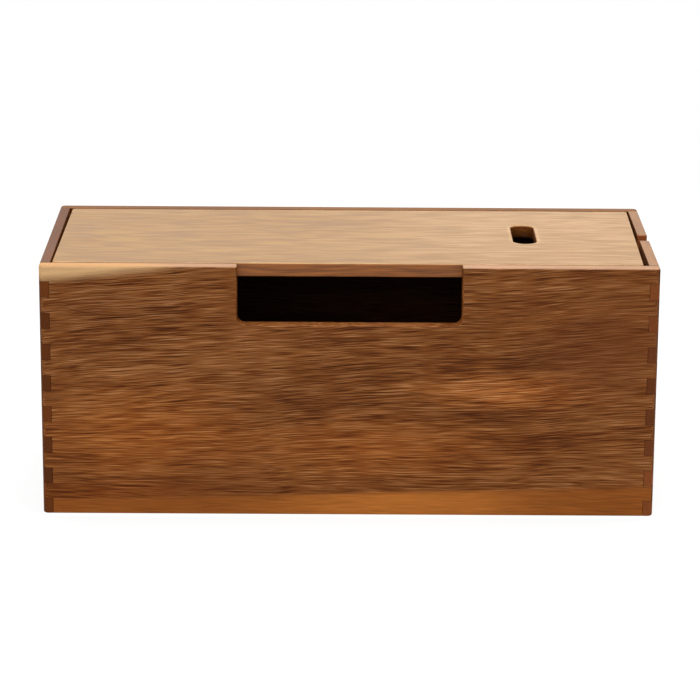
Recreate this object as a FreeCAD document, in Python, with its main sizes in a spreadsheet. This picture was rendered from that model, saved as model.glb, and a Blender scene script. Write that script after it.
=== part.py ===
"""Cable management box: a low wooden box with a loose lid, made to stand on a desk.

Four walls are joined at the corners by box joints, whose square fingers show as rows of end-grain patches.
The base is let into the walls from below. The lid lies loose between the walls, level with their tops, on
four corner blocks, and lifts straight out by its finger slot. The front panel has a wide notch in its top
edge, and the right end panel a narrow slot. Four thin pads keep the wood off the desk.

Millimetres. +X is to the right, +Y to the back, +Z up. The origin is on the desk, below the box's centre.
"""
import FreeCAD, Part
import Sketcher
import math
import os

SIZES = [
    ("box_width", 310.0, "outside, left to right"),
    ("box_depth", 132.0, "outside, front to back"),
    ("wall_height", 130.0, "all four walls"),
    ("long_wall", 7.0, "thickness of the front and back panels"),
    ("end_wall", 5.2, "thickness of the two end panels"),
    ("finger_count", 16, "fingers up one corner, both panels' together: an even number"),
    ("corner_radius", 2.5, "the box's four upright corners"),
    ("edge_radius", 1.0, "outer edges of the walls"),
    ("inner_edge_radius", 0.4, "inner edges of the walls, and the corner blocks' edges"),
    ("notch_width", 112.5, "front notch"),
    ("notch_depth", 30.0, "front notch, down from the panel's top"),
    ("notch_corner", 4.0, "radius of the front notch's lower corners"),
    ("side_slot_width", 12.0, "slot in the right end panel"),
    ("side_slot_depth", 22.0, "the same slot, down from the panel's top"),
    ("lid_thickness", 7.0, ""),
    ("lid_left_gap", 0.8, "lid to left end panel, at the front"),
    ("lid_left_taper", 0.7, "how much wider that gap is at the back: the lid's end is cut out of square"),
    ("lid_right_gap", 0.8, "lid to right end panel, at the back"),
    ("lid_right_taper", 1.7, "how much wider that gap is at the front: this end is out of square as well"),
    ("lid_front_gap", 1.0, "lid to front panel"),
    ("lid_back_gap", 0.7, "lid to back panel"),
    ("lid_corner", 1.5, "radius of the lid's upright corners"),
    ("lid_edge", 0.9, "radius along the lid's top and bottom edges, also round its slot"),
    ("finger_slot_width", 12.0, "slot in the lid, left to right"),
    ("finger_slot_length", 40.0, "slot in the lid, front to back, over its round ends"),
    ("finger_slot_x", 90.5, "the slot's centre, right of the box's centre"),
    ("finger_slot_y", 5.5, "the slot's centre, behind the box's centre"),
    ("base_thickness", 5.0, ""),
    ("base_let_in", 3.0, "how far the base's edges go into the walls"),
    ("base_corner", 6.0, "radius of the corners of the recess that takes the base"),
    ("base_clearance", 0.15, "round the base in that recess"),
    ("block_width", 12.0, "corner block, along each wall"),
    ("block_height", 25.0, ""),
    ("block_bevel", 3.0, "on the corner block's free edge"),
    ("pad_diameter", 14.0, ""),
    ("pad_thickness", 1.5, ""),
    ("pad_edge", 0.4, "radius round the pad's lower edge"),
    ("pad_inset", 13.0, "inner face of each wall to the pad's centre"),
]

# Places worked out from the sizes, each an expression on the sheet
HALF_WIDTH = "(sizes.box_width / 2)"
HALF_DEPTH = "(sizes.box_depth / 2)"
INNER_HALF_WIDTH = "(sizes.box_width / 2 - sizes.end_wall)"
INNER_HALF_DEPTH = "(sizes.box_depth / 2 - sizes.long_wall)"
FINGER_HEIGHT = "(sizes.wall_height / sizes.finger_count)"
LID_UNDERSIDE = "(sizes.pad_thickness + sizes.wall_height - sizes.lid_thickness)"

# Coordinates and volumes that differ by no more than this are the same
NEAR = 1e-4
UP = FreeCAD.Vector(0, 0, 1)

doc = FreeCAD.newDocument("cable_box")
sheet = doc.addObject("Spreadsheet::Sheet", "sizes")
for row, (alias, value, note) in enumerate(SIZES, start=1):
    sheet.set("A%d" % row, alias.replace("_", " "))
    sheet.set("B%d" % row, str(value))
    sheet.setAlias("B%d" % row, alias)
    sheet.set("C%d" % row, note)
doc.recompute()


def size(expression):
    """The number that an expression on the sheet gives."""
    return float(sheet.evalExpression(expression))


# Sketches

def origin_feature(body, role):
    """One of the body's own origin planes or axes."""
    return next(feature for feature in body.Origin.OriginFeatures if feature.Role == role)


def new_sketch(body, name, plane="XY_Plane", height="0"):
    """An empty sketch on one of the body's origin planes, or at a height above it."""
    sketch = body.newObject("Sketcher::SketchObject", name)
    sketch.AttachmentSupport = [(origin_feature(body, plane), "")]
    sketch.MapMode = "FlatFace"
    sketch.setExpression("AttachmentOffset.Base.z", height)
    return sketch


def hold(sketch, kind, target, expression):
    """A constraint whose value follows an expression on the sheet."""
    number = sketch.addConstraint(Sketcher.Constraint(kind, *target, size(expression)))
    sketch.setExpression("Constraints[%d]" % number, expression)


def hold_point(sketch, geometry, point, x, y):
    """Ties a line's end or an arc's centre to its distances from the sketch's origin."""
    hold(sketch, "DistanceX", (-1, 1, geometry, point), x)
    hold(sketch, "DistanceY", (-1, 1, geometry, point), y)


def add_polygon(sketch, corners):
    """A closed outline of straight lines through corners, each a pair of expressions."""
    points = [FreeCAD.Vector(size(x), size(y), 0) for x, y in corners]
    lines = []
    for start, end in zip(points, points[1:] + points[:1]):
        lines.append(sketch.addGeometry(Part.LineSegment(start, end), False))
    for line, following in zip(lines, lines[1:] + lines[:1]):
        sketch.addConstraint(Sketcher.Constraint("Coincident", line, 2, following, 1))
    for line, (x, y) in zip(lines, corners):
        hold_point(sketch, line, 1, x, y)


def add_rectangle(sketch, left, right, low, high):
    """A rectangle between four expressions."""
    add_polygon(sketch, [(left, low), (right, low), (right, high), (left, high)])


def add_belt(sketch, centres, radius):
    """The line a belt takes round equal circles, anticlockwise: arcs joined by the lines that touch them.

    Two centres give a slot with round ends, four give a rectangle with round corners.
    """
    points = [FreeCAD.Vector(size(x), size(y), 0) for x, y in centres]
    reach = size(radius)
    outward = []
    for start, end in zip(points, points[1:] + points[:1]):
        along = (end - start).normalize()
        outward.append(FreeCAD.Vector(along.y, -along.x, 0))
    arcs = []
    lines = []
    for index, point in enumerate(points):
        arriving = outward[index - 1]
        leaving = outward[index]
        first = math.atan2(arriving.y, arriving.x)
        turn = (math.atan2(leaving.y, leaving.x) - first) % (2 * math.pi)
        arc = Part.ArcOfCircle(Part.Circle(point, UP, reach), first, first + turn)
        arcs.append(sketch.addGeometry(arc, False))
    for index, point in enumerate(points):
        following = points[(index + 1) % len(points)]
        side = outward[index] * reach
        lines.append(sketch.addGeometry(Part.LineSegment(point + side, following + side), False))
    for index, line in enumerate(lines):
        sketch.addConstraint(Sketcher.Constraint("Tangent", arcs[index], 2, line, 1))
        sketch.addConstraint(Sketcher.Constraint("Tangent", line, 2, arcs[(index + 1) % len(arcs)], 1))
    for arc, (x, y) in zip(arcs, centres):
        hold(sketch, "Radius", (arc,), radius)
        hold_point(sketch, arc, 3, x, y)


def add_round_rectangle(sketch, centre, half_size, radius):
    """A rectangle with round corners, from its centre and half sizes."""
    across, along = centre
    half_width, half_depth = half_size
    left = "%s - %s + %s" % (across, half_width, radius)
    right = "%s + %s - %s" % (across, half_width, radius)
    low = "%s - %s + %s" % (along, half_depth, radius)
    high = "%s + %s - %s" % (along, half_depth, radius)
    add_belt(sketch, [(left, low), (right, low), (right, high), (left, high)], radius)


# Features

def new_body(name):
    body = doc.addObject("PartDesign::Body", name)
    body.Label = name
    return body


def place(body, x, y, z, turn=0):
    """Puts a body at a point given by expressions, turned about its own upright axis by so many degrees."""
    body.Placement = FreeCAD.Placement(FreeCAD.Vector(), FreeCAD.Rotation(UP, turn))
    for axis, expression in zip("xyz", (x, y, z)):
        body.setExpression("Placement.Base.%s" % axis, expression)
    return body


def add_feature(body, kind, name):
    feature = body.newObject(kind, name)
    body.Tip = feature
    return feature


def pad(body, sketch, name, length):
    """Raises a sketch on the XY plane into a solid."""
    feature = add_feature(body, "PartDesign::Pad", name)
    feature.Profile = (sketch, [""])
    feature.setExpression("Length", length)
    doc.recompute()


def pocket(body, sketch, name, length=None, along_normal=True):
    """Cuts a sketch into the solid, to a length or right through, and makes sure that it cut."""
    before = body.Shape.Volume
    feature = add_feature(body, "PartDesign::Pocket", name)
    feature.Profile = (sketch, [""])
    feature.Reversed = along_normal
    if length is None:
        feature.Type = "ThroughAll"
    else:
        feature.setExpression("Length", length)
    doc.recompute()
    if body.Shape.Volume > before - NEAR:
        raise RuntimeError("%s cuts nothing" % name)
    return feature


def round_edges(body, name, radius, belongs):
    """Rounds the edges whose middle point, in the body's own frame, passes a test."""
    edges = []
    for number, edge in enumerate(body.Shape.Edges, start=1):
        middle = edge.valueAt((edge.FirstParameter + edge.LastParameter) / 2)
        if belongs(middle):
            edges.append("Edge%d" % number)
    base = body.Tip
    feature = add_feature(body, "PartDesign::Fillet", name)
    feature.Base = (base, edges)
    feature.setExpression("Radius", radius)
    doc.recompute()


def near(value, *targets):
    """Whether a coordinate is at one of the target values."""
    return any(abs(value - target) < NEAR for target in targets)


# Walls

def cut_fingers(body, name, spaces, first_height):
    """Cuts every other finger's space from both ends of a wall, from a first height up."""
    sketch = new_sketch(body, name + "_sketch", height=first_height)
    for space in spaces:
        add_rectangle(sketch, *space)
    first = pocket(body, sketch, name + "_first", FINGER_HEIGHT)
    before = body.Shape.Volume
    row = add_feature(body, "PartDesign::LinearPattern", name + "_row")
    row.Originals = [first]
    row.Direction = (origin_feature(body, "Z_Axis"), [""])
    row.setExpression("Length", "sizes.wall_height - 2 * %s" % FINGER_HEIGHT)
    row.setExpression("Occurrences", "sizes.finger_count / 2")
    body.Tip = row
    doc.recompute()
    if body.Shape.Volume > before - NEAR:
        raise RuntimeError("%s is not repeated" % name)


def cut_base_recess(body, name, centre):
    """Cuts the wall's share of the recess that takes the base, from below."""
    sketch = new_sketch(body, name + "_sketch")
    half_size = (
        "(%s + sizes.base_let_in)" % INNER_HALF_WIDTH,
        "(%s + sizes.base_let_in)" % INNER_HALF_DEPTH,
    )
    add_round_rectangle(sketch, centre, half_size, "sizes.base_corner")
    pocket(body, sketch, name, "sizes.base_thickness")


def cut_notch(body, name):
    """The wide notch in the middle of the front panel's top edge, with round lower corners."""
    sketch = new_sketch(body, name + "_sketch", plane="XZ_Plane")
    half_notch = "sizes.notch_width / 2"
    floor = "sizes.wall_height - sizes.notch_depth"
    add_rectangle(sketch, "-" + half_notch, half_notch, floor, "sizes.wall_height")
    pocket(body, sketch, name, along_normal=False)
    corner_x = size(half_notch)
    corner_z = size(floor)
    round_edges(
        body, name + "_corners", "sizes.notch_corner",
        lambda middle: near(abs(middle.x), corner_x) and near(middle.z, corner_z),
    )


def long_panel(name, notched):
    """The front or back panel, drawn with its outer face at y = 0 and its inner face behind it."""
    body = new_body(name)
    plan = new_sketch(body, name + "_plan")
    add_rectangle(plan, "-" + HALF_WIDTH, HALF_WIDTH, "0", "sizes.long_wall")
    pad(body, plan, name + "_board", "sizes.wall_height")
    end_x = size(HALF_WIDTH)
    inner_y = size("sizes.long_wall")
    top = size("sizes.wall_height")
    round_edges(
        body, name + "_upright_corners", "sizes.corner_radius",
        lambda middle: near(abs(middle.x), end_x) and near(middle.y, 0),
    )
    if notched:
        cut_notch(body, name + "_notch")
    notch_x = size("sizes.notch_width / 2")
    notch_z = size("sizes.wall_height - sizes.notch_depth")

    def round_notch(middle):
        return notched and abs(middle.x) < notch_x + NEAR and notch_z - NEAR < middle.z < top - NEAR

    round_edges(
        body, name + "_outer_edges", "sizes.edge_radius",
        lambda middle: near(middle.z, 0, top) and not near(middle.y, inner_y)
        or near(middle.y, 0) and round_notch(middle),
    )
    round_edges(
        body, name + "_inner_edges", "sizes.inner_edge_radius",
        lambda middle: near(middle.y, inner_y) and (near(middle.z, top) or round_notch(middle)),
    )
    spaces = [
        ("-" + HALF_WIDTH, "-" + INNER_HALF_WIDTH, "0", "sizes.long_wall"),
        (INNER_HALF_WIDTH, HALF_WIDTH, "0", "sizes.long_wall"),
    ]
    cut_fingers(body, name + "_fingers", spaces, "0")
    cut_base_recess(body, name + "_base_recess", ("0", HALF_DEPTH))
    return body


def cut_side_slot(body, name):
    """The narrow slot in an end panel, open at the panel's top edge and round at its foot."""
    sketch = new_sketch(body, name + "_sketch", plane="YZ_Plane")
    radius = "(sizes.side_slot_width / 2)"
    foot = "sizes.wall_height - sizes.side_slot_depth + %s" % radius
    add_belt(sketch, [("0", foot), ("0", "sizes.wall_height + %s" % radius)], radius)
    pocket(body, sketch, name)


def end_panel(name, slotted):
    """The left or right end panel, drawn with its outer face at x = 0 and its inner face beyond it."""
    body = new_body(name)
    plan = new_sketch(body, name + "_plan")
    add_rectangle(plan, "0", "sizes.end_wall", "-" + HALF_DEPTH, HALF_DEPTH)
    pad(body, plan, name + "_board", "sizes.wall_height")
    end_y = size(HALF_DEPTH)
    inner_x = size("sizes.end_wall")
    top = size("sizes.wall_height")
    round_edges(
        body, name + "_upright_corners", "sizes.corner_radius",
        lambda middle: near(abs(middle.y), end_y) and near(middle.x, 0),
    )
    if slotted:
        cut_side_slot(body, name + "_slot")
    slot_y = size("sizes.side_slot_width / 2")
    slot_z = size("sizes.wall_height - sizes.side_slot_depth")

    def round_slot(middle):
        return slotted and abs(middle.y) < slot_y + NEAR and slot_z - NEAR < middle.z < top - NEAR

    round_edges(
        body, name + "_outer_edges", "sizes.edge_radius",
        lambda middle: near(middle.z, 0, top) and not near(middle.x, inner_x)
        or near(middle.x, 0) and round_slot(middle),
    )
    round_edges(
        body, name + "_inner_edges", "sizes.inner_edge_radius",
        lambda middle: near(middle.x, inner_x) and (near(middle.z, top) or round_slot(middle)),
    )
    spaces = [
        ("0", "sizes.end_wall", "-" + HALF_DEPTH, "-" + INNER_HALF_DEPTH),
        ("0", "sizes.end_wall", INNER_HALF_DEPTH, HALF_DEPTH),
    ]
    cut_fingers(body, name + "_fingers", spaces, FINGER_HEIGHT)
    cut_base_recess(body, name + "_base_recess", (HALF_WIDTH, "0"))
    return body


# Pieces inside and below the walls

def base_panel():
    """The base: a board with round corners that fills the recess in the walls from below."""
    body = new_body("base_panel")
    plan = new_sketch(body, "base_panel_plan")
    reach = "sizes.base_let_in - sizes.base_clearance"
    half_size = (
        "(%s + %s)" % (INNER_HALF_WIDTH, reach),
        "(%s + %s)" % (INNER_HALF_DEPTH, reach),
    )
    add_round_rectangle(plan, ("0", "0"), half_size, "(sizes.base_corner - sizes.base_clearance)")
    pad(body, plan, "base_panel_board", "sizes.base_thickness")
    return body


def lid():
    """The lid: a loose board with a finger slot through it, both its ends cut a little out of square."""
    body = new_body("lid")
    left_front = "-%s + sizes.lid_left_gap" % INNER_HALF_WIDTH
    left_back = "%s + sizes.lid_left_taper" % left_front
    right_back = "%s - sizes.lid_right_gap" % INNER_HALF_WIDTH
    right_front = "%s - sizes.lid_right_taper" % right_back
    front = "-%s + sizes.lid_front_gap" % INNER_HALF_DEPTH
    back = "%s - sizes.lid_back_gap" % INNER_HALF_DEPTH
    plan = new_sketch(body, "lid_plan")
    add_polygon(plan, [(left_front, front), (right_front, front), (right_back, back), (left_back, back)])
    pad(body, plan, "lid_board", "sizes.lid_thickness")
    top = size("sizes.lid_thickness")
    round_edges(body, "lid_upright_corners", "sizes.lid_corner", lambda middle: near(middle.z, top / 2))
    slot = new_sketch(body, "lid_finger_slot_sketch")
    radius = "(sizes.finger_slot_width / 2)"
    half_straight = "(sizes.finger_slot_length / 2 - %s)" % radius
    ends = [
        ("sizes.finger_slot_x", "sizes.finger_slot_y - %s" % half_straight),
        ("sizes.finger_slot_x", "sizes.finger_slot_y + %s" % half_straight),
    ]
    add_belt(slot, ends, radius)
    pocket(body, slot, "lid_finger_slot")
    round_edges(body, "lid_edges", "sizes.lid_edge", lambda middle: near(middle.z, 0, top))
    return body


def lid_block(name):
    """A block glued into an upright corner to carry the lid, drawn with that corner at its origin."""
    body = new_body(name)
    plan = new_sketch(body, name + "_plan")
    side = "sizes.block_width"
    bevelled = "sizes.block_width - sizes.block_bevel"
    add_polygon(plan, [("0", "0"), (side, "0"), (side, bevelled), (bevelled, side), ("0", side)])
    pad(body, plan, name + "_block", "sizes.block_height")
    top = size("sizes.block_height")
    round_edges(
        body, name + "_free_edges", "sizes.inner_edge_radius",
        lambda middle: middle.x > NEAR and middle.y > NEAR and middle.z < top - NEAR,
    )
    return body


def foot_pad(name):
    """A thin round pad stuck under the base."""
    body = new_body(name)
    plan = new_sketch(body, name + "_plan")
    circle = plan.addGeometry(Part.Circle(FreeCAD.Vector(), UP, size("sizes.pad_diameter / 2")), False)
    hold(plan, "Radius", (circle,), "sizes.pad_diameter / 2")
    hold_point(plan, circle, 3, "0", "0")
    pad(body, plan, name + "_disc", "sizes.pad_thickness")
    round_edges(body, name + "_lower_edge", "sizes.pad_edge", lambda middle: near(middle.z, 0))
    return body


# Assembly

pieces = [
    place(long_panel("front_panel", notched=True), "0", "-" + HALF_DEPTH, "sizes.pad_thickness"),
    place(long_panel("back_panel", notched=False), "0", HALF_DEPTH, "sizes.pad_thickness", turn=180),
    place(end_panel("left_end_panel", slotted=False), "-" + HALF_WIDTH, "0", "sizes.pad_thickness"),
    place(end_panel("right_end_panel", slotted=True), HALF_WIDTH, "0", "sizes.pad_thickness", turn=180),
    place(base_panel(), "0", "0", "sizes.pad_thickness"),
    place(lid(), "0", "0", LID_UNDERSIDE),
]
corners = [
    ("front_left", "-", "-", 0),
    ("front_right", "", "-", 90),
    ("back_right", "", "", 180),
    ("back_left", "-", "", 270),
]
for corner, x_sign, y_sign, turn in corners:
    block = lid_block("lid_block_" + corner)
    block_foot = "%s - sizes.block_height" % LID_UNDERSIDE
    pieces.append(place(block, x_sign + INNER_HALF_WIDTH, y_sign + INNER_HALF_DEPTH, block_foot, turn))
for corner, x_sign, y_sign, turn in corners:
    pad_x = "%s(%s - sizes.pad_inset)" % (x_sign, INNER_HALF_WIDTH)
    pad_y = "%s(%s - sizes.pad_inset)" % (y_sign, INNER_HALF_DEPTH)
    pieces.append(place(foot_pad("foot_pad_" + corner), pad_x, pad_y, "0"))
doc.recompute()

for item in doc.Objects:
    if "Invalid" in item.State or "Error" in item.State:
        raise RuntimeError("%s failed: %s" % (item.Label, item.State))
for piece in pieces:
    if piece.Shape.isNull() or not piece.Shape.isValid() or len(piece.Shape.Solids) != 1:
        raise RuntimeError("%s is not one valid solid" % piece.Label)

os.makedirs("parts", exist_ok=True)
for piece in pieces:
    piece.Shape.exportStep("parts/%s.step" % piece.Label)
    box = piece.Shape.BoundBox
    print("%-24s %9.1f mm3  x %7.2f %7.2f  y %7.2f %7.2f  z %7.2f %7.2f" % (
        piece.Label, piece.Shape.Volume, box.XMin, box.XMax, box.YMin, box.YMax, box.ZMin, box.ZMax,
    ))
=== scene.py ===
"""Looks for a wooden cable management box: board finishes, studio and camera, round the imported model.

Metres, in the model's own frame: +X to the right, +Y to the back, +Z up, the origin on the desk.
"""
import math
import bpy
import numpy as np
from mathutils import Matrix, Vector


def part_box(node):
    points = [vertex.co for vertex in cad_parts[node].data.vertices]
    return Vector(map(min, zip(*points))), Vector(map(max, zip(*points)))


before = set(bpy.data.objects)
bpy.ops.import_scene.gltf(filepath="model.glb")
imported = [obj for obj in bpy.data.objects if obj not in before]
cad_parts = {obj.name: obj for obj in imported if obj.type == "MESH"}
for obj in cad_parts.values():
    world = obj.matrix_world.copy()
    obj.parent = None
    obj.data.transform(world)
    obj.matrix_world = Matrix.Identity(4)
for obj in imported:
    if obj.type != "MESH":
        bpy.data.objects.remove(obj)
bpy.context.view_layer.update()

MM = 0.001


# Places, from the frame

BOX_LOW, BOX_HIGH = (Vector(corner) for corner in (
    np.minimum(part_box("front_panel")[0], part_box("back_panel")[0]),
    np.maximum(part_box("front_panel")[1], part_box("back_panel")[1]),
))

# The walls' inner faces, half the inside's width and depth from the middle
INNER_X = BOX_HIGH.x - (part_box("left_end_panel")[1][0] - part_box("left_end_panel")[0][0])
INNER_Y = BOX_HIGH.y - (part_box("front_panel")[1][1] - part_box("front_panel")[0][1])
LID_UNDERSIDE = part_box("lid")[0][2]

# The box joints: the fingers up one corner, those of both its boards together, how far past the corner
# their marks reach, and half the width of a glue line
FINGERS = 16
FINGER_HEIGHT = (BOX_HIGH.z - BOX_LOW.z) / FINGERS
JOINT_REACH = 0.4 * MM
GLUE_WIDTH = 0.3 * MM

# How far down a wall the colour of its top edge reaches
TOP_EDGE = 1.2 * MM

# The lid's finger slot: its middle, half the length of its straight sides and the radius of its round ends.
# From its wall outwards, the painted shade down in it reaches so far, and the painted highlight round it is
# full up to the first distance and gone at the second.
SLOT_X = 90.5 * MM
SLOT_Y = 5.5 * MM
SLOT_STRAIGHT = 14 * MM
SLOT_RADIUS = 6 * MM
SLOT_SHADE = 1.2 * MM
HIGHLIGHT_FULL = 1.4 * MM
HIGHLIGHT_GONE = 2.4 * MM


# Colours

def colour(red, green, blue):
    """A colour as the eye reads it, 0 to 255, in the linear values that a shader takes."""
    def linear(channel):
        part = channel / 255
        return part / 12.92 if part <= 0.04045 else ((part + 0.055) / 1.055) ** 2.4
    return (linear(red), linear(green), linear(blue), 1.0)


# Shader graphs

class Graph:
    """Adds nodes to one node tree. A value given to a node is a number, a colour or another node's socket."""

    def __init__(self, tree):
        self.tree = tree

    def feed(self, socket, value):
        if isinstance(value, bpy.types.NodeSocket):
            self.tree.links.new(value, socket)
        elif value is not None:
            socket.default_value = value

    def add(self, kind, inputs=(), **settings):
        node = self.tree.nodes.new(kind)
        for name, value in settings.items():
            setattr(node, name, value)
        for place, value in dict(inputs).items():
            self.feed(node.inputs[place], value)
        return node

    def math(self, operation, *values):
        return self.add("ShaderNodeMath", enumerate(values), operation=operation).outputs[0]

    def vector(self, operation, *values):
        node = self.add("ShaderNodeVectorMath", enumerate(values), operation=operation)
        return node.outputs["Value" if operation in ("LENGTH", "DOT_PRODUCT") else "Vector"]

    def split(self, vector):
        return self.add("ShaderNodeSeparateXYZ", {0: vector}).outputs

    def join(self, x, y, z):
        return self.add("ShaderNodeCombineXYZ", {0: x, 1: y, 2: z}).outputs[0]

    def noise(self, vector, stretch, detail):
        """Smooth noise from 0 to 1, with so many lumps to a metre along each axis."""
        scaled = self.vector("MULTIPLY", vector, stretch)
        inputs = {"Vector": scaled, "Scale": 1.0, "Detail": detail}
        return self.add("ShaderNodeTexNoise", inputs).outputs["Fac"]

    def step(self, value, low, high):
        """0 below low, 1 above high, and a smooth rise between. Low may be the larger."""
        inputs = {"Value": value, "From Min": low, "From Max": high}
        return self.add("ShaderNodeMapRange", inputs, interpolation_type="SMOOTHSTEP").outputs[0]

    def mix(self, factor, first, second, blend="MIX"):
        """The first colour where the factor is 0 and, where it is 1, the second blended with it."""
        node = self.add("ShaderNodeMix", data_type="RGBA", blend_type=blend)
        for place, value in ((0, factor), (6, first), (7, second)):
            self.feed(node.inputs[place], value)
        return node.outputs[2]

    def ramp(self, factor, stops):
        """Colours along a line from 0 to 1, as pairs of place and colour."""
        node = self.add("ShaderNodeValToRGB", {0: factor})
        elements = node.color_ramp.elements
        for index, (place, tone) in enumerate(stops):
            element = elements[index] if index < 2 else elements.new(place)
            element.position = place
            element.color = tone
        return node.outputs["Color"]

    def group(self, tree, **inputs):
        node = self.add("ShaderNodeGroup", node_tree=tree)
        for name, value in inputs.items():
            self.feed(node.inputs[name.replace("_", " ")], value)
        return node.outputs


def new_group(name, inputs, outputs):
    """A new node group with named sockets: its graph, its inputs as given and its outputs to feed."""
    tree = bpy.data.node_groups.new(name, "ShaderNodeTree")
    for direction, sockets in (("INPUT", inputs), ("OUTPUT", outputs)):
        for socket_name, kind in sockets:
            tree.interface.new_socket(name=socket_name, in_out=direction, socket_type="NodeSocket" + kind)
    graph = Graph(tree)
    return graph, graph.add("NodeGroupInput").outputs, graph.add("NodeGroupOutput").inputs


def build_wood_figure():
    """The figure of a board whose grain runs along its X: values from 0 to 1 that average a half.

    Fibres run along X but sway, mostly in Z. Strokes are noise drawn out along them, streaks are coarser
    strokes, bands are wide and long, and clouds are slow changes of tone.
    """
    graph, given, result = new_group(
        "wood_figure",
        [("Board", "Vector"), ("Sway", "Float")],
        [("Strokes", "Float"), ("Streaks", "Float"), ("Bands", "Float"), ("Clouds", "Float")],
    )
    board = given["Board"]
    wide_sway = graph.math("SUBTRACT", graph.noise(board, (12, 14, 14), 1), 0.5)
    small_sway = graph.math("SUBTRACT", graph.noise(board, (35, 45, 45), 1), 0.5)
    sway = graph.math("MULTIPLY", graph.math("MULTIPLY_ADD", small_sway, 0.22, wide_sway), given["Sway"])
    sway_in_depth = graph.math("MULTIPLY", sway, 0.2)
    fibres = graph.vector("ADD", board, graph.join(0.0, sway_in_depth, sway))
    graph.feed(result["Strokes"], graph.noise(fibres, (60, 5200, 5200), 1))
    graph.feed(result["Streaks"], graph.noise(fibres, (60, 1200, 1200), 1))
    graph.feed(result["Bands"], graph.noise(fibres, (7, 130, 130), 1))
    graph.feed(result["Clouds"], graph.noise(board, (14, 45, 45), 2))
    return graph.tree


def build_board_faces():
    """Which way a face looks: 1 on end grain, 1 on edges that are rounded over, and 1 where it looks up."""
    graph, given, result = new_group(
        "board_faces",
        [("Normal", "Vector"), ("Grain", "Vector")],
        [("End Grain", "Float"), ("Rounded", "Float"), ("Upward", "Float")],
    )
    ends = graph.math("ABSOLUTE", graph.vector("DOT_PRODUCT", given["Normal"], given["Grain"]))
    x, y, z = graph.split(graph.vector("ABSOLUTE", given["Normal"]))
    flattest = graph.math("MAXIMUM", x, graph.math("MAXIMUM", y, z))
    graph.feed(result["End Grain"], graph.step(ends, 0.55, 0.8))
    graph.feed(result["Rounded"], graph.step(flattest, 0.999, 0.97))
    graph.feed(result["Upward"], graph.step(graph.split(given["Normal"])[2], 0.3, 0.9))
    return graph.tree


def build_finger_joints():
    """The box joints' marks: a thin dark glue line round each finger, and a tone of its own for each.

    Through is the distance from the board's inner face, where the glue line runs along the fingers' roots.
    """
    graph, given, result = new_group(
        "finger_joints",
        [("Place", "Vector"), ("Through", "Float")],
        [("Line", "Float"), ("Tone", "Float")],
    )
    x, y, z = graph.split(given["Place"])
    in_end_wall = graph.math("GREATER_THAN", graph.math("ABSOLUTE", x), INNER_X - JOINT_REACH)
    in_long_wall = graph.math("GREATER_THAN", graph.math("ABSOLUTE", y), INNER_Y - JOINT_REACH)
    in_corner = graph.math("MULTIPLY", in_end_wall, in_long_wall)
    climb = graph.math("DIVIDE", graph.math("SUBTRACT", z, BOX_LOW.z), FINGER_HEIGHT)
    from_step = graph.math("MULTIPLY", graph.math("PINGPONG", climb, 0.5), FINGER_HEIGHT)
    nearest = graph.math("MINIMUM", from_step, graph.math("ABSOLUTE", given["Through"]))
    line = graph.step(nearest, GLUE_WIDTH, 0.0)
    graph.feed(result["Line"], graph.math("MULTIPLY", line, in_corner))
    front_or_back = graph.math("MULTIPLY", graph.math("SIGN", y), 50.0)
    corner = graph.math("MULTIPLY_ADD", graph.math("SIGN", x), 20.0, front_or_back)
    finger = graph.math("ADD", graph.math("FLOOR", climb), corner)
    tone = graph.add("ShaderNodeTexWhiteNoise", {"W": finger}, noise_dimensions="1D").outputs["Value"]
    graph.feed(result["Tone"], tone)
    return graph.tree


WOOD_FIGURE = build_wood_figure()
BOARD_FACES = build_board_faces()
FINGER_JOINTS = build_finger_joints()

# Directions of the grain
ALONG_X = (1.0, 0.0, 0.0)
ALONG_Y = (0.0, 1.0, 0.0)
ALONG_Z = (0.0, 0.0, 1.0)


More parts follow.
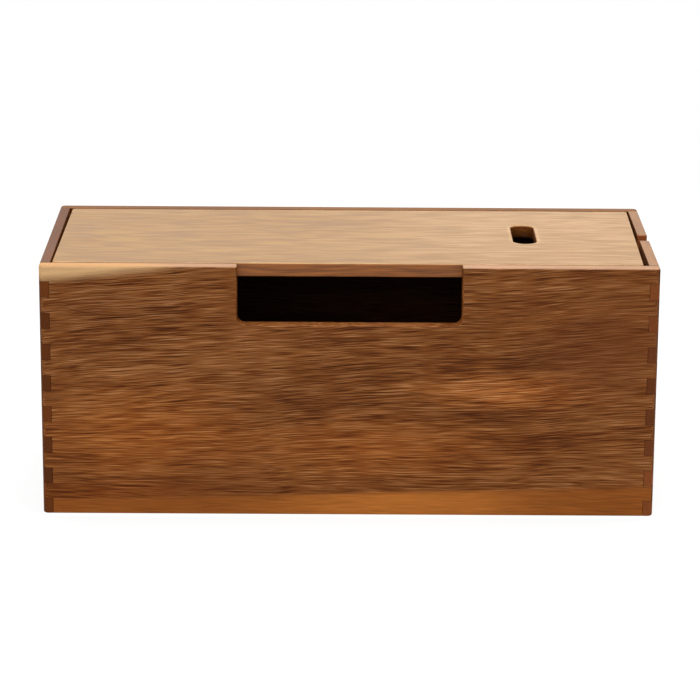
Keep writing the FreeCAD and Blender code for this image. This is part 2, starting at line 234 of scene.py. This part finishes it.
class Board:
    """One board's material while it is being made: its graph, coordinates, figure and face masks.

    Start moves the board to a stretch of the figure of its own. Climb gives how steeply the fibres climb to
    the right at two heights, as pairs of height and slope, the lower one first. Longer and wider give how
    many times the usual size the figure has along and across the grain.
    """

    def __init__(self, name, grain, start, sway=6 * MM, climb=None, longer=1.0, wider=1.0):
        self.material = bpy.data.materials.new(name)
        self.material.use_nodes = True
        self.material.node_tree.nodes.clear()
        graph = self.graph = Graph(self.material.node_tree)
        coordinates = graph.add("ShaderNodeTexCoord").outputs
        self.place = coordinates["Object"]
        self.x, self.y, self.z = graph.split(self.place)
        height = self.z
        if climb:
            (low, low_slope), (high, high_slope) = climb
            part = graph.step(self.z, low, high)
            slope = graph.math("MULTIPLY_ADD", part, high_slope - low_slope, low_slope)
            height = graph.math("SUBTRACT", self.z, graph.math("MULTIPLY", self.x, slope))
        order = {
            ALONG_X: (self.x, self.y, height),
            ALONG_Y: (self.y, self.x, height),
            ALONG_Z: (self.z, self.y, self.x),
        }
        spread = graph.vector("MULTIPLY", graph.join(*order[grain]), (1.0 / longer, 1.0 / wider, 1.0 / wider))
        board = graph.vector("ADD", spread, start)
        self.figure = graph.group(WOOD_FIGURE, Board=board, Sway=sway)
        self.faces = graph.group(BOARD_FACES, Normal=coordinates["Normal"], Grain=grain)

    def tone(self, stops, **shares):
        """The colour on the stops at the sum of the figure's parts, each centred and times its share."""
        mixed = 0.5
        for part, share in shares.items():
            centred = self.graph.math("SUBTRACT", self.figure[part.capitalize()], 0.5)
            mixed = self.graph.math("MULTIPLY_ADD", centred, share, mixed)
        return self.graph.ramp(mixed, stops)

    def tint(self, base, mask, tint):
        """The base colour multiplied by a tint where the mask is 1."""
        return self.graph.mix(mask, base, self.graph.mix(1.0, base, tint, "MULTIPLY"))

    def finish(self, base, roughness=0.45, coat=0.0, ior=1.16, bump=0.3):
        """Ends the material: oiled wood, a little rougher in its streaks and on its end grain."""
        graph = self.graph
        streaks = graph.math("SUBTRACT", self.figure["Streaks"], 0.5)
        rough = graph.math("MULTIPLY_ADD", streaks, 0.3, roughness)
        rough = graph.math("MULTIPLY_ADD", self.faces["End Grain"], 0.15, rough)
        bumps = graph.add("ShaderNodeBump", {
            "Strength": bump, "Distance": 0.12 * MM, "Height": self.figure["Strokes"],
        })
        shader = graph.add("ShaderNodeBsdfPrincipled", {
            "Base Color": base, "Roughness": rough, "Normal": bumps.outputs[0],
            "Coat Weight": coat, "Coat Roughness": 0.3, "IOR": ior,
        })
        output = graph.add("ShaderNodeOutputMaterial")
        graph.tree.links.new(shader.outputs[0], output.inputs["Surface"])
        return self.material


WALNUT = [
    (0.0, colour(44, 15, 0)),
    (0.25, colour(76, 35, 7)),
    (0.5, colour(115, 62, 21)),
    (0.75, colour(142, 90, 46)),
    (1.0, colour(168, 118, 76)),
]

# Tints that multiply a wood's colour: in a glue line, painted shade on the walls' inner faces, a painted
# highlight on the lid's rounded edges and round its slot, paler on the side slot's faces, and painted shade
# down in the joint beside the lid and in the lid's slot
GLUE = (0.45, 0.4, 0.35, 1.0)
INSIDE_PAINTED_SHADE = (0.2, 0.19, 0.18, 1.0)
LID_ARRIS_HIGHLIGHT = (1.25, 1.32, 1.45, 1.0)
SLOT_FACE_PALER = (1.45, 1.4, 1.4, 1.0)
JOINT_PAINTED_SHADE = (0.2, 0.18, 0.16, 1.0)


def around(middle, spread=0.45):
    """Stops for an even tone: a colour with a darker and a lighter one to either side."""
    darker = tuple(channel * (1 - spread) for channel in middle[:3]) + (1.0,)
    lighter = tuple(channel * (1 + spread) for channel in middle[:3]) + (1.0,)
    return [(0.0, darker), (1.0, lighter)]


def wall_base(board, base, through, end_grain, top, shade_beside_lid=0.0):
    """What every wall has: even end grain that differs from finger to finger, glue lines, a top edge of its
    own colour, and painted shade on its inner face below the lid, and beside the lid as strongly as asked."""
    graph = board.graph
    joints = graph.group(FINGER_JOINTS, Place=board.place, Through=through)
    ends = board.tone(around(end_grain), streaks=0.6, clouds=0.5)
    shade = graph.math("MULTIPLY_ADD", joints["Tone"], 0.6, 0.7)
    ends = graph.mix(1.0, ends, graph.join(shade, shade, shade), "MULTIPLY")
    base = graph.mix(board.faces["End Grain"], base, ends)
    base = board.tint(base, joints["Line"], GLUE)
    # The top edge takes a colour of its own, given wall by wall.
    top_edge_tone = board.tone(around(top), strokes=0.5, streaks=0.6, clouds=0.6)
    at_top = graph.math("GREATER_THAN", board.z, BOX_HIGH.z - TOP_EDGE)
    base = graph.mix(graph.math("MULTIPLY", at_top, board.faces["Upward"]), base, top_edge_tone)
    # Painted shade: the inner face is darkened below the lid, and beside the lid as strongly as asked.
    inside = graph.step(through, 0.3 * MM, 0.05 * MM)
    depth = graph.math("MAXIMUM", graph.math("LESS_THAN", board.z, LID_UNDERSIDE), shade_beside_lid)
    return board.tint(base, graph.math("MULTIPLY", inside, depth), INSIDE_PAINTED_SHADE)


class FrontFigure:
    """Places on the front panel's outer face, for the marks that this one board has."""

    def __init__(self, board):
        self.board = board
        self.graph = board.graph
        centred = self.graph.math("SUBTRACT", board.figure["Clouds"], 0.5)
        self.ragged = self.graph.math("MULTIPLY", centred, 14 * MM)

    def oval(self, centre, half_size, slope=0.0, ragged=1.0):
        """1 in the middle of a slanting oval, fading to 0 at its ragged rim, given in millimetres."""
        graph = self.graph
        across = graph.math("SUBTRACT", self.board.x, centre[0] * MM)
        up = graph.math("SUBTRACT", self.board.z, centre[1] * MM)
        up = graph.math("MULTIPLY_ADD", self.ragged, ragged, up)
        up = graph.math("SUBTRACT", up, graph.math("MULTIPLY", across, slope))
        across = graph.math("DIVIDE", across, half_size[0] * MM)
        up = graph.math("DIVIDE", up, half_size[1] * MM)
        return graph.step(graph.vector("LENGTH", graph.join(across, up, 0.0)), 1.15, 0.0)

    def foot_band(self):
        """1 below a line that climbs to the right, and 1 in a darker zone above it, on the left."""
        graph = self.graph
        line = graph.math("MULTIPLY_ADD", self.board.x, 0.026, 13.0 * MM)
        line = graph.math("MULTIPLY_ADD", self.ragged, 0.12, line)
        below = graph.math("SUBTRACT", line, self.board.z)
        band = graph.step(below, -1.5 * MM, 2.0 * MM)
        zone = graph.step(below, -14 * MM, -2 * MM)
        above = graph.math("MULTIPLY", zone, graph.math("SUBTRACT", 1.0, band))
        return band, graph.math("MULTIPLY", above, graph.step(self.board.x, 20 * MM, -140 * MM))

    def sapwood(self):
        """1 in the wedge along the top edge that thins out to the right."""
        graph = self.graph
        depth = graph.math("MULTIPLY", graph.step(self.board.x, -70 * MM, -165 * MM), 7.5 * MM)
        low = graph.math("SUBTRACT", BOX_HIGH.z, depth)
        low = graph.math("MULTIPLY_ADD", self.ragged, 0.15, low)
        wedge = graph.step(graph.math("SUBTRACT", self.board.z, low), -3.2 * MM, 3.4 * MM)
        return graph.math("MULTIPLY", wedge, graph.step(self.board.x, -75 * MM, -105 * MM))


# Marks on the front panel: centre and half size in millimetres, slope, tint and strength
FRONT_MARKS = [
    ((124, 92), (50, 44), 0.0, (0.84, 0.82, 1.0, 1.0), 0.9),
    ((-24, 64), (32, 16), 0.0, (0.76, 0.72, 0.66, 1.0), 0.8),
    ((92, 84), (26, 9), 0.25, (0.72, 0.68, 0.66, 1.0), 0.8),
    ((107, 106), (46, 5), 0.30, (1.32, 1.38, 1.35, 1.0), 0.8),
    ((78, 67), (58, 14), -0.02, (1.85, 1.82, 1.75, 1.0), 0.8),
    ((-105, 44), (75, 32), 0.03, (1.54, 1.38, 1.02, 1.0), 0.8),
    ((-120, 108), (50, 18), 0.03, (0.98, 1.02, 1.15, 1.0), 0.7),
    ((15, 36), (85, 20), 0.0, (1.55, 1.44, 1.18, 1.0), 0.8),
    ((110, 42), (60, 20), 0.0, (0.92, 0.88, 0.80, 1.0), 0.8),
]


def front_wood():
    """The front panel: pale sapwood along the top left edge, dark reddish wood with a slanting pale streak to
    the right, an orange band along the foot that widens to the right, and a painted shade line beside the
    lid."""
    board = Board("front_wood", ALONG_X, (0.31, 0.02, 0.004), climb=((12 * MM, -0.01), (70 * MM, 0.055)))
    graph = board.graph
    marks = FrontFigure(board)
    busy = board.tone(WALNUT, strokes=2.3, streaks=0.4, bands=0.4, clouds=0.3)
    quiet = board.tone(WALNUT, strokes=1.2, streaks=0.25, bands=0.3, clouds=0.3)
    low_zone = graph.math("MULTIPLY", graph.step(board.z, 75 * MM, 30 * MM), 0.4)
    base = graph.mix(graph.math("MAXIMUM", marks.oval((130, 92), (62, 52)), low_zone), busy, quiet)
    for centre, half_size, slope, tint, strength in FRONT_MARKS:
        mask = graph.math("MULTIPLY", marks.oval(centre, half_size, slope), strength)
        base = board.tint(base, mask, tint)
    band, above_band = marks.foot_band()
    base = board.tint(base, graph.math("MULTIPLY", above_band, 0.9), (0.84, 0.63, 0.30, 1.0))
    orange = board.tone(around(colour(134, 73, 24)), strokes=0.9, streaks=0.5, clouds=0.4)
    orange = board.tint(orange, marks.oval((25, 7), (95, 18), 0.02, ragged=0.3), (1.85, 2.12, 2.5, 1.0))
    base = graph.mix(graph.math("MULTIPLY", band, 0.9), base, orange)
    through = graph.math("SUBTRACT", graph.math("ABSOLUTE", board.y), INNER_Y)
    base = wall_base(board, base, through, end_grain=colour(98, 52, 18), top=colour(151, 115, 87))
    pale = board.tone(around(colour(202, 161, 114), 0.3), strokes=0.6, streaks=0.6)
    pale = board.tint(pale, board.faces["Upward"], (0.66, 0.58, 0.50, 1.0))
    base = graph.mix(marks.sapwood(), base, pale)
    # Painted shade: a dark line along the top face's inner edge, where the joint beside the lid lies in
    # shadow.
    joint_shade = graph.math("MULTIPLY", graph.step(through, 1.0 * MM, 0.6 * MM), board.faces["Upward"])
    return board.finish(board.tint(base, joint_shade, JOINT_PAINTED_SHADE))


def back_wood():
    """The back panel: the same walnut without the front's marks, and a darker top edge."""
    board = Board("back_wood", ALONG_X, (1.73, 0.055, 0.037), climb=((10 * MM, 0.02), (120 * MM, -0.03)))
    graph = board.graph
    base = board.tone(WALNUT, strokes=1.6, streaks=0.4, bands=0.6, clouds=0.45)
    through = graph.math("SUBTRACT", graph.math("ABSOLUTE", board.y), INNER_Y)
    base = wall_base(board, base, through, end_grain=colour(98, 52, 18), top=colour(102, 66, 34))
    return board.finish(base)


def end_wood(name, start, cast, end_grain, top, shade_beside_lid=0.0):
    """An end panel: walnut whose grain runs front to back, so that its fingers show end grain in front."""
    board = Board(name, ALONG_Y, start)
    graph = board.graph
    base = board.tone(WALNUT, strokes=1.6, streaks=0.4, bands=0.6, clouds=0.45)
    base = board.tint(base, 1.0, cast)
    through = graph.math("SUBTRACT", graph.math("ABSOLUTE", board.x), INNER_X)
    base = wall_base(board, base, through, end_grain, top, shade_beside_lid)
    # Paler on the faces of the side slot, away from the corners.
    away_from_corners = graph.math("LESS_THAN", graph.math("ABSOLUTE", board.y), 20 * MM)
    cut_face = graph.math("MULTIPLY", board.faces["End Grain"], away_from_corners)
    return board.finish(board.tint(base, cut_face, SLOT_FACE_PALER))


def lid_wood():
    """The lid: straight, quiet grain along its length, paler on top, a little darker to the left, with a
    painted highlight on its arrises and round its slot, and painted shade down in its slot."""
    board = Board("lid_wood", ALONG_X, (2.9, 0.012, 0.09), sway=2 * MM, longer=1.5, wider=4.0)
    graph = board.graph
    sides = board.tone(around(colour(131, 75, 28)), strokes=2.0, streaks=1.6, clouds=0.4)
    top = board.tone([
        (0.0, colour(126, 87, 31)),
        (0.5, colour(140, 103, 56)),
        (1.0, colour(153, 118, 78)),
    ], strokes=2.6, streaks=2.5, bands=0.7, clouds=0.4)
    top = board.tint(top, graph.step(board.x, 100 * MM, -40 * MM), (0.82, 0.75, 0.42, 1.0))
    base = graph.mix(board.faces["Upward"], sides, top)
    across = graph.math("SUBTRACT", board.x, SLOT_X)
    from_middle = graph.math("ABSOLUTE", graph.math("SUBTRACT", board.y, SLOT_Y))
    along = graph.math("MAXIMUM", graph.math("SUBTRACT", from_middle, SLOT_STRAIGHT), 0.0)
    from_slot = graph.vector("LENGTH", graph.join(across, along, 0.0))
    slot_highlight = graph.step(from_slot, SLOT_RADIUS + HIGHLIGHT_GONE, SLOT_RADIUS + HIGHLIGHT_FULL)
    # Painted highlight: the lid's rounded edges and a ring round its slot are made paler.
    rim = graph.math("MAXIMUM", board.faces["Rounded"], slot_highlight)
    base = board.tint(base, graph.math("MULTIPLY", rim, board.faces["Upward"]), LID_ARRIS_HIGHLIGHT)
    base = board.tint(base, board.faces["End Grain"], (0.7, 0.65, 0.6, 1.0))
    # Painted shade down the walls of the lid's slot.
    at_slot = graph.math("LESS_THAN", from_slot, SLOT_RADIUS + SLOT_SHADE)
    down = graph.step(board.z, BOX_HIGH.z - 1 * MM, LID_UNDERSIDE)
    base = board.tint(base, graph.math("MULTIPLY", at_slot, down), JOINT_PAINTED_SHADE)
    return board.finish(base, roughness=0.36, coat=0.4, ior=1.2, bump=0.15)


def plain_wood(name, grain, start):
    """Sanded wood without oil, for the base and the blocks."""
    board = Board(name, grain, start)
    base = board.tone(WALNUT, strokes=0.9, streaks=0.5, bands=0.6, clouds=0.4)
    base = board.tint(base, 1.0, (0.7, 0.72, 0.8, 1.0))
    base = board.tint(base, board.faces["End Grain"], (0.6, 0.55, 0.5, 1.0))
    return board.finish(base, roughness=0.65)


def pad_rubber():
    """Black rubber with a fine matt skin."""
    material = bpy.data.materials.new("pad_rubber")
    material.use_nodes = True
    material.node_tree.nodes.clear()
    graph = Graph(material.node_tree)
    place = graph.add("ShaderNodeTexCoord").outputs["Object"]
    grit = graph.noise(place, (2600, 2600, 2600), 2)
    base = graph.ramp(grit, [(0.3, colour(22, 22, 23)), (0.7, colour(40, 40, 41))])
    bumps = graph.add("ShaderNodeBump", {"Strength": 0.4, "Distance": 0.1 * MM, "Height": grit})
    shader = graph.add("ShaderNodeBsdfPrincipled", {
        "Base Color": base, "Roughness": 0.8, "Normal": bumps.outputs[0],
    })
    output = graph.add("ShaderNodeOutputMaterial")
    graph.tree.links.new(shader.outputs[0], output.inputs["Surface"])
    return material


def dress(node, material):
    """Gives a node of the model its material."""
    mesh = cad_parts[node].data
    mesh.materials.clear()
    mesh.materials.append(material)


dress("front_panel", front_wood())
dress("back_panel", back_wood())
dress("left_end_panel", end_wood(
    "left_end_wood", (0.77, 0.02, 0.011), cast=(0.72, 0.72, 0.8, 1.0), end_grain=colour(94, 47, 14),
    top=colour(92, 60, 42)))
# The right end panel also takes painted shade beside the lid, where the joint lies in shadow.
dress("right_end_panel", end_wood(
    "right_end_wood", (1.21, 0.03, 0.023), cast=(1.0, 0.95, 1.0, 1.0), end_grain=colour(108, 57, 26),
    top=colour(131, 98, 72), shade_beside_lid=0.7))
dress("lid", lid_wood())
dress("base_panel", plain_wood("base_wood", ALONG_X, (4.1, 0.0, 0.02)))
block_material = plain_wood("block_wood", ALONG_Z, (5.3, 0.0, 0.03))
pad_material = pad_rubber()
for corner in ("front_left", "front_right", "back_right", "back_left"):
    dress("lid_block_" + corner, block_material)
    dress("foot_pad_" + corner, pad_material)


# Studio

def floor_square(name, half_size):
    """A flat square facing up, centred on the origin."""
    mesh = bpy.data.meshes.new(name)
    corners = [(x * half_size, y * half_size, 0.0) for x, y in ((-1, -1), (1, -1), (1, 1), (-1, 1))]
    mesh.from_pydata(corners, [], [(0, 1, 2, 3)])
    square = bpy.data.objects.new(name, mesh)
    bpy.context.collection.objects.link(square)
    return square


def floor_material():
    """A white floor that takes a faint shade near the box, and none away from it or under it."""
    material = bpy.data.materials.new("studio_floor")
    material.use_nodes = True
    material.node_tree.nodes.clear()
    graph = Graph(material.node_tree)
    place = graph.add("ShaderNodeTexCoord").outputs["Object"]
    away = graph.step(graph.vector("LENGTH", place), 0.30, 0.75)
    x, y, _ = graph.split(graph.vector("ABSOLUTE", place))
    within_width = graph.math("LESS_THAN", x, BOX_HIGH.x)
    within_depth = graph.math("LESS_THAN", y, BOX_HIGH.y)
    under = graph.math("MULTIPLY", within_width, within_depth)
    plain_white = graph.math("MAXIMUM", graph.math("MAXIMUM", away, under), 0.85)
    lit = graph.add("ShaderNodeBsdfDiffuse", {"Color": (0.88, 0.88, 0.88, 1.0)})
    white = graph.add("ShaderNodeEmission", {"Color": (1.0, 1.0, 1.0, 1.0), "Strength": 1.0})
    shader = graph.add("ShaderNodeMixShader", {0: plain_white, 1: lit.outputs[0], 2: white.outputs[0]})
    output = graph.add("ShaderNodeOutputMaterial")
    graph.tree.links.new(shader.outputs[0], output.inputs["Surface"])
    return material


def studio_world(diffuse_strength):
    """White to the camera and in reflections, and a soft grey light on everything else."""
    world = bpy.data.worlds.new("studio")
    bpy.context.scene.world = world
    world.use_nodes = True
    world.node_tree.nodes.clear()
    graph = Graph(world.node_tree)
    path = graph.add("ShaderNodeLightPath").outputs
    reflected = graph.math("MAXIMUM", path["Is Glossy Ray"], path["Is Transmission Ray"])
    seen = graph.math("MAXIMUM", path["Is Camera Ray"], reflected)
    strength = graph.math("ADD", diffuse_strength, graph.math("MULTIPLY", seen, 1.0 - diffuse_strength))
    background = graph.add("ShaderNodeBackground", {"Color": (1.0, 1.0, 1.0, 1.0), "Strength": strength})
    output = graph.add("ShaderNodeOutputWorld")
    graph.tree.links.new(background.outputs[0], output.inputs["Surface"])


def soft_light(name, place, target, width, depth, watts):
    """A rectangular light at a place, facing a target."""
    lamp = bpy.data.lights.new(name, "AREA")
    lamp.shape = "RECTANGLE"
    lamp.size = width
    lamp.size_y = depth
    lamp.energy = watts
    light = bpy.data.objects.new(name, lamp)
    light.location = place
    light.rotation_euler = (Vector(target) - Vector(place)).to_track_quat("-Z", "Y").to_euler()
    bpy.context.collection.objects.link(light)


floor = floor_square("studio_floor", half_size=6.0)
floor.data.materials.append(floor_material())
studio_world(diffuse_strength=0.30)
soft_light("top_light", (0.06, 0.10, 1.30), target=(0.0, 0.0, 0.10), width=1.5, depth=1.1, watts=36.0)
soft_light("front_light", (-0.35, -1.6, 0.9), target=(0.0, 0.0, 0.06), width=1.2, depth=0.9, watts=8.0)


# Camera, worked out from the box's corners in the photograph

FRAME_PIXELS = 700
FOCAL_PIXELS = 3060
SENSOR_MM = 36.0
CAMERA_PLACE = Vector((-6.7, -1541.4, 508.8)) * MM
CAMERA_PITCH = math.radians(15.89)
CAMERA_YAW = math.radians(-0.276)
CAMERA_ROLL = math.radians(0.396)


def place_camera():
    """A long lens above the front of the box: pitched down, turned a little, and rolled a little."""
    turn = Matrix.Rotation(CAMERA_YAW, 3, "Z")
    ahead = turn @ Vector((0.0, math.cos(CAMERA_PITCH), -math.sin(CAMERA_PITCH)))
    right = turn @ Vector((1.0, 0.0, 0.0))
    up = right.cross(ahead)
    rolled_right = right * math.cos(CAMERA_ROLL) + up * math.sin(CAMERA_ROLL)
    rolled_up = up * math.cos(CAMERA_ROLL) - right * math.sin(CAMERA_ROLL)
    lens = bpy.data.cameras.new("camera")
    lens.sensor_width = SENSOR_MM
    lens.lens = FOCAL_PIXELS / FRAME_PIXELS * SENSOR_MM
    lens.clip_end = 20.0
    camera = bpy.data.objects.new("camera", lens)
    axes = Matrix((rolled_right, rolled_up, -ahead)).transposed()
    camera.matrix_world = Matrix.Translation(CAMERA_PLACE) @ axes.to_4x4()
    bpy.context.collection.objects.link(camera)
    bpy.context.scene.camera = camera


place_camera()
bpy.context.scene.view_settings.view_transform = "Standard"
